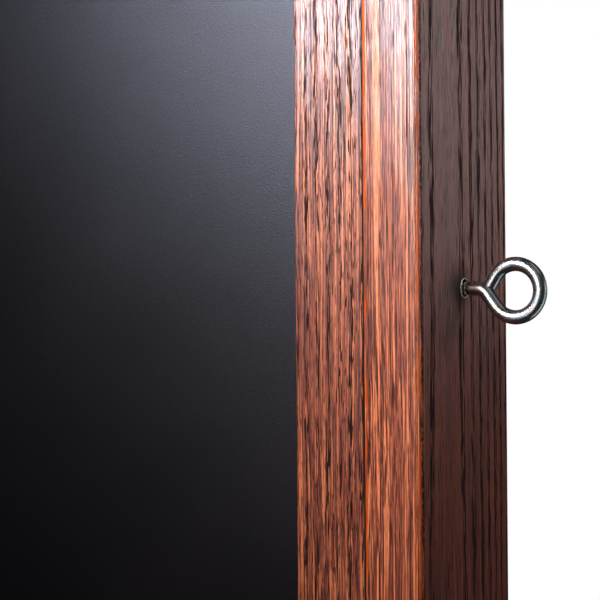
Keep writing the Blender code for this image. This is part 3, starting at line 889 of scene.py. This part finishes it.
def add_hook(metal):
    low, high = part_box("hook_rose")
    line = bent_wire(HOOK_LOOP, HOOK_SWEEP, HOOK_TIP)
    mesh = threaded_wire("hook_wire", line, HOOK_WIRE, HOOK_THREAD)
    place = Vector((0, low.y, (low.z + high.z) / 2))
    mesh.transform(Matrix.Translation(place) @ Matrix.Rotation(-math.pi / 2, 4, "Z"))
    return add_piece("hook_wire", mesh, metal, "board", "zinc", "hook")


def add_ring(metal):
    """The ring, drawn in slightly at the butt weld at its bottom."""
    low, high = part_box("ring")
    centre = (low + high) / 2
    wire = (high.y - low.y) / 2
    radius = (high.z - low.z) / 2 - wire
    count = 180
    points, radii = [], []
    for index in range(count):
        angle = 2 * math.pi * index / count
        points.append(centre + Vector((radius * math.sin(angle), 0, radius * math.cos(angle))))
        from_weld = min(1.0, abs(angle - math.pi) * radius / WELD_REACH)
        radii.append(wire * 0.995 - WELD_NECK * math.cos(from_weld * math.pi / 2))
    mesh = swept_tube("ring_wire", points, radii, 36, cyclic=True)
    return add_piece("ring_wire", mesh, metal, "ring", "ring_steel", "ring")


# Stage

def add_floor():
    """A pale floor that glows white for the camera, partly near the object and fully some way off,
    where it meets the white surroundings.
    """
    g = Graph("floor")
    mesh = bpy.data.meshes.new("floor")
    bm = bmesh.new()
    bmesh.ops.create_circle(bm, cap_ends=True, segments=96, radius=30)
    bm.to_mesh(mesh)
    bm.free()
    floor = bpy.data.objects.new("floor", mesh)
    floor.location = (0, 0, BOTTOM - 0.2 * MM)
    bpy.context.scene.collection.objects.link(floor)
    g.surface(Base_Color=(0.80, 0.80, 0.80), Roughness=0.7)
    away = g.vector("LENGTH", g.tree.nodes.new("ShaderNodeTexCoord").outputs["Object"])
    seen = g.tree.nodes.new("ShaderNodeLightPath").outputs["Is Camera Ray"]
    glow = g.node("Emission", Color=(1, 1, 1), Strength=1.0)
    both = g.node("MixShader")
    g.put(both.inputs[0], g.times(g.ramp(away, 0.35, 1.30, 0.45, 1.0), seen))
    g.put(both.inputs[1], g.shader.outputs[0])
    g.put(both.inputs[2], glow.outputs[0])
    g.put(g.tree.nodes["Material Output"].inputs["Surface"], both.outputs[0])
    mesh.materials.append(g.material)
    floor.visible_glossy = False
    floor.visible_diffuse = False


SURROUNDINGS_FILL = (0.060, 0.065, 0.075, 1)
SURROUNDINGS_SHINE = (0.0145, 0.0156, 0.0180, 1)
SURROUNDINGS_SEEN = (1, 1, 1, 1)


def add_surroundings():
    """White where they are seen, and dim where they light the object or are mirrored in it."""
    world = bpy.data.worlds.new("surroundings")
    bpy.context.scene.world = world
    world.use_nodes = True
    tree = world.node_tree
    path = tree.nodes.new("ShaderNodeLightPath")
    shine, seen = (tree.nodes.new("ShaderNodeMix") for _ in range(2))
    for mix, ray, colour in (
        (shine, "Is Glossy Ray", SURROUNDINGS_SHINE),
        (seen, "Is Camera Ray", SURROUNDINGS_SEEN),
    ):
        mix.data_type = "RGBA"
        tree.links.new(path.outputs[ray], mix.inputs["Factor"])
        mix.inputs[7].default_value = colour
    shine.inputs[6].default_value = SURROUNDINGS_FILL
    tree.links.new(shine.outputs[2], seen.inputs[6])
    tree.links.new(seen.outputs[2], tree.nodes["Background"].inputs["Color"])


# Making

# Each strip's pith as (depth, inwards) in mm, its noise seed and the tone of its stain
BOARD_OAK = {
    "right": ((19, -24.1), 11, 1.27),
    "left": ((40, -30), 23, 0.95),
    "top": ((25, 48), 37, 0.92),
    "bottom": ((36, -38), 53, 0.9),
}
TRIM_OAK = {
    "right": ((34, -30), 71, 0.94),
    "left": ((30, -36), 83, 0.9),
    "top": ((36, -26), 97, 0.9),
    "bottom": ((40, -34), 109, 0.88),
}
# How far in over the trim's face, in mm, painted shade lies beside the board
TRIM_CORNER_SHADE = (STOCK - TRIM_INSET + 0.55 * (TRIM_FRONT - FRONT)) / MM - 0.2
TRIM_GRAIN = {
    "ring": 2.9, "pore": (8, 0.50, 0.42), "gloss": 0.9, "banding": 0.13, "corner_shade": TRIM_CORNER_SHADE,
}
PINE = ((0.74, 0.55, 0.33), (0.62, 0.41, 0.22))

add_camera()
bpy.context.scene.view_settings.view_transform = "Standard"
add_floor()
add_surroundings()
add_lights()

for side, (pith, seed, tone) in BOARD_OAK.items():
    hole = (EYE_POINT.y - FRONT) / MM if side == "right" else None
    oak = stained_oak(f"oak_{side}_board", pith, seed, tone, eye_shadow=hole)
    board = add_strip(side, "board", board_corners(), 0, FRONT, board_masks, oak, "stained_oak")
    if side == "right":
        bore(board, eye_bore())
    if side in ("left", "right"):
        bore(board, *nail_bores(side))
eye_lip = add_eye_lip(scraped_plating())
for side, (pith, seed, tone) in TRIM_OAK.items():
    oak = stained_oak(f"oak_{side}_trim", pith, seed, tone, **TRIM_GRAIN)
    add_strip(side, "trim", trim_corners(), TRIM_INSET, TRIM_FRONT, trim_masks, oak, "trim_oak")

paint = black_paint()
zinc = bright_metal("zinc_plate", (0.62, 0.635, 0.65), 0.25)
steel = bright_metal("polished_steel", (0.76, 0.76, 0.77), 0.12)
nail_steel = bright_metal("nail_steel", (0.45, 0.45, 0.46), 0.35)
birch = pale_wood("birch_plywood", (0.66, 0.50, 0.32), (0.56, 0.40, 0.24), (1.2, 1.2, 30), 5)
pine_across = pale_wood("planed_pine_across", *PINE, (34, 0.5, 0.5), 6)
pine_upright = pale_wood("planed_pine_upright", *PINE, (0.5, 0.5, 34), 8)
rubber = moulded_rubber()

slots = {row["node"]: row["material_slot"] for row in frame["record"]["subparts"]}
finishes = {
    "black_panel": paint,
    "plywood": birch,
    "zinc": zinc,
    "ring_steel": steel,
    "nail_steel": nail_steel,
    "rubber": rubber,
}
for name, obj in frame["nodes"].items():
    finish = finishes.get(slots[name])
    if slots[name] == "pine":
        x, _, z = (max(edge) - min(edge) for edge in zip(*obj.bound_box))
        finish = pine_across if x > z else pine_upright
    if finish:
        obj.data.materials.clear()
        obj.data.materials.append(finish)

screw_eye = add_screw_eye(zinc)
hook = add_hook(zinc)
ring = add_ring(steel)
flag_lights(screw_eye, hook, ring, eye_lip)
